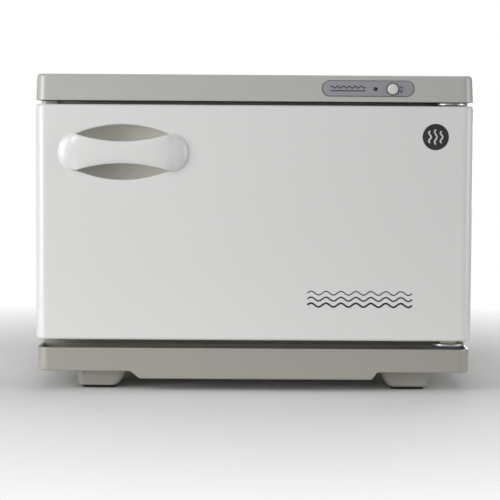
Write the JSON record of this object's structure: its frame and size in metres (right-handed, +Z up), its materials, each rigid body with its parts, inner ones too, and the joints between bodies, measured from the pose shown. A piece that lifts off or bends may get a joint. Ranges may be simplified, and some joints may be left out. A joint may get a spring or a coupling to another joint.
{
  "type": "hot towel cabinet",
  "caption": "Compact heated cabinet for warming towels, with a side-hinged door, recessed bow handle, aluminium chamber, wire rack, pull-out drip tray and push button.",
  "frame": {"origin": "on the floor, under the middle of the whole cabinet's bounding box", "axes": "+X towards the hinge side (right, seen from the front), +Y towards the back, +Z up; the door faces -Y"},
  "size_m": [0.35, 0.278, 0.2535],
  "materials": {
    "grey_abs": "satin moulded ABS",
    "base_abs": "satin moulded ABS, slightly warmer than the cap",
    "white_abs": "glossy moulded ABS",
    "liner_abs": "fine satin moulded ABS",
    "cup_abs": "satin moulded ABS",
    "white_paint": "semi-gloss powder coat on sheet steel",
    "aluminium": "mill-finish folded sheet",
    "zinc_steel": "zinc-plated pressed steel",
    "screw_steel": "nickel-plated screws",
    "chrome_wire": "bright chrome-plated wire",
    "magnet": "dark sintered ferrite",
    "black_rubber": "matt black rubber",
    "white_silicone": "soft satin silicone",
    "heater_silicone": "fabric-textured silicone",
    "label_film": "satin printed film",
    "cream_abs": "glossy moulded ABS",
    "lamp_lens": "dark tinted lens",
    "glass_wool": "pale yellow fibre blanket",
    "foam": "rigid cellular foam",
    "white_nylon": "satin nylon",
    "black_phenolic": "satin black phenolic",
    "ceramic": "unglazed ceramic",
    "green_board": "glass-fibre board with solder mask",
    "wire_sheath": "smooth insulated leads"
  },
  "bodies": {
    "cabinet": {"outer_shell": "white_paint", "back_panel": "white_paint", "base_housing": "base_abs", "tray_shelf": "base_abs", "top_cap": "grey_abs", "cap_plate": "zinc_steel", "front_frame": "grey_abs", "chamber": "aluminium", "insulation": "glass_wool", "heater_mat": "heater_silicone", "thermostat": "black_phenolic", "thermal_fuse": "ceramic", "terminal_block": "white_nylon", "wiring": "wire_sheath", "wire_grommet": "black_rubber", "cord_gland": "black_rubber", "feet": "base_abs", "foot_pads": "black_rubber", "foot_screws": "screw_steel", "cap_screws": "screw_steel", "back_screws": "screw_steel", "chamber_screws": "screw_steel", "hinge_plate_lower": "zinc_steel", "hinge_plate_upper": "zinc_steel", "hinge_pins": "zinc_steel", "hinge_screws": "screw_steel", "catch_magnet": "magnet", "control_label": "label_film", "indicator_lamp": "lamp_lens", "switch_body": "black_phenolic", "control_board": "green_board", "board_screws": "screw_steel"},
    "power_button": {"power_button": "cream_abs"},
    "door": {"door_panel": "white_abs", "door_liner": "liner_abs", "door_foam": "foam", "door_gasket": "white_silicone", "handle_cup": "cup_abs", "handle_grip": "white_abs", "handle_screws": "screw_steel", "hinge_bushes": "white_nylon", "strike_plate": "zinc_steel", "liner_screws": "screw_steel"},
    "drip_tray": {"drip_tray": "base_abs"},
    "wire_rack": {"rack_grid": "chrome_wire", "rack_feet": "chrome_wire"}
  },
  "joints": [
    {"name": "door_hinge", "type": "hinge", "parent": "cabinet", "child": "door", "pos_m": [0.1575, -0.1165, 0], "axis": [0, 0, 1], "range_deg": [0, 120]},
    {"name": "button_push", "type": "slide", "parent": "cabinet", "child": "power_button", "axis": [0, 1, 0], "range_m": [0, 0.0025], "stiffness_N_per_m": 200},
    {"name": "tray_slide", "type": "slide", "parent": "cabinet", "child": "drip_tray", "axis": [0, -1, 0], "range_m": [0, 0.06]},
    {"name": "rack_slide", "type": "slide", "parent": "cabinet", "child": "wire_rack", "axis": [0, -1, 0], "range_m": [0, 0.011]}
  ]
}
